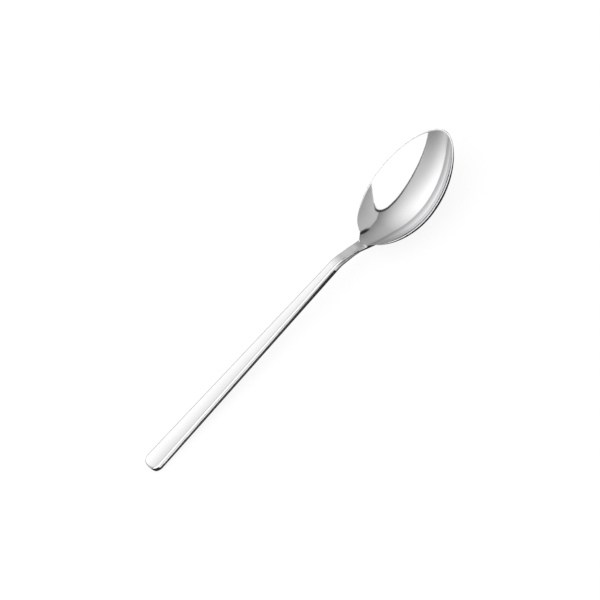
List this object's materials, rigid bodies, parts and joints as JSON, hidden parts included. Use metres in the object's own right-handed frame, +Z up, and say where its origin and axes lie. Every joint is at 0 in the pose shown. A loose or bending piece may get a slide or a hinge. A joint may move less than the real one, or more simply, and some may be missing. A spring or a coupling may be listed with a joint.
{
  "type": "demitasse spoon",
  "caption": "Small coffee spoon with an egg-shaped bowl, a slim bent neck and a long flat handle that widens to a bowed end.",
  "frame": {"origin": "under the middle of the spoon's bounding box, on the plane that it rests on", "axes": "+X from the handle's end to the bowl's tip, +Y to the left, +Z up"},
  "size_m": [0.1154, 0.0242, 0.0123],
  "materials": {
    "bowl_steel": "mirror-polished stainless steel",
    "neck_steel": "polished stainless steel",
    "handle_steel": "mirror-polished stainless steel"
  },
  "bodies": {
    "root": {"bowl": "bowl_steel", "neck": "neck_steel", "handle": "handle_steel"}
  },
  "joints": []
}
